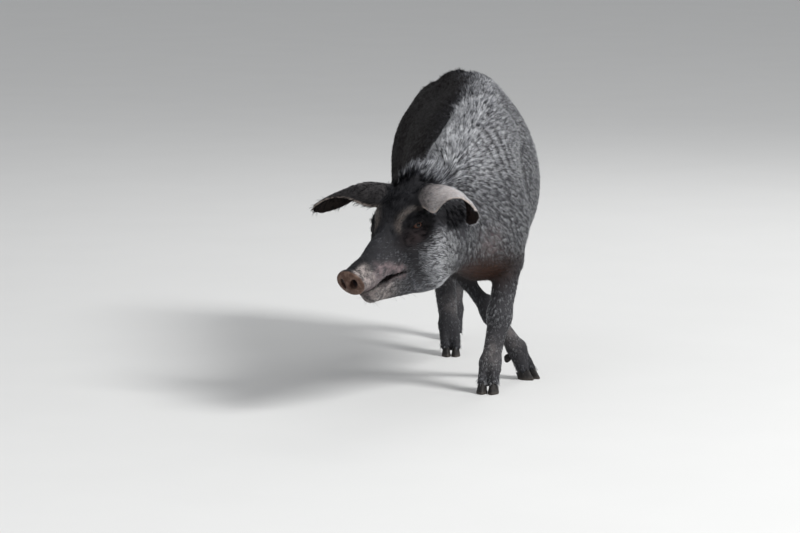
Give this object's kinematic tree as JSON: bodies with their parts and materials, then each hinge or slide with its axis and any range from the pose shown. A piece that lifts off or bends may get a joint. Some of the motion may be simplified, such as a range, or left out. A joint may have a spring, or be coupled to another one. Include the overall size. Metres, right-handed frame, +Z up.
{
  "type": "pig",
  "caption": "Black country pig in mid step, head low and turned aside, half lop ears held out, as a life-size still display model.",
  "frame": {"origin": "on the floor, under the middle of the box that holds the whole pig", "axes": "+Z up, +Y towards the tail, so the body heads along -Y, and +X is the pig's own left"},
  "size_m": [0.534, 1.2572, 0.7069],
  "materials": {
    "hide": "dry black skin under stiff, greying black bristles",
    "snout": "moist brown bare skin",
    "hoof": "worn dark horn",
    "eye": "wet, dark brown"
  },
  "bodies": {
    "root": {"trunk": "hide", "tail": "hide", "neck": "hide", "left_ear": "hide", "left_eye": "eye", "right_ear": "hide", "right_eye": "eye", "head": "hide", "snout_disc": "snout", "left_foreleg_left_claw": "hoof", "left_foreleg_left_dewclaw": "hoof", "left_foreleg_right_claw": "hoof", "left_foreleg_right_dewclaw": "hoof", "left_foreleg": "hide", "right_foreleg_left_claw": "hoof", "right_foreleg_left_dewclaw": "hoof", "right_foreleg_right_claw": "hoof", "right_foreleg_right_dewclaw": "hoof", "right_foreleg": "hide", "right_hindleg_left_claw": "hoof", "right_hindleg_left_dewclaw": "hoof", "right_hindleg_right_claw": "hoof", "right_hindleg_right_dewclaw": "hoof", "right_hindleg": "hide", "left_hindleg_left_claw": "hoof", "left_hindleg_left_dewclaw": "hoof", "left_hindleg_right_claw": "hoof", "left_hindleg_right_dewclaw": "hoof", "left_hindleg": "hide"}
  },
  "joints": []
}
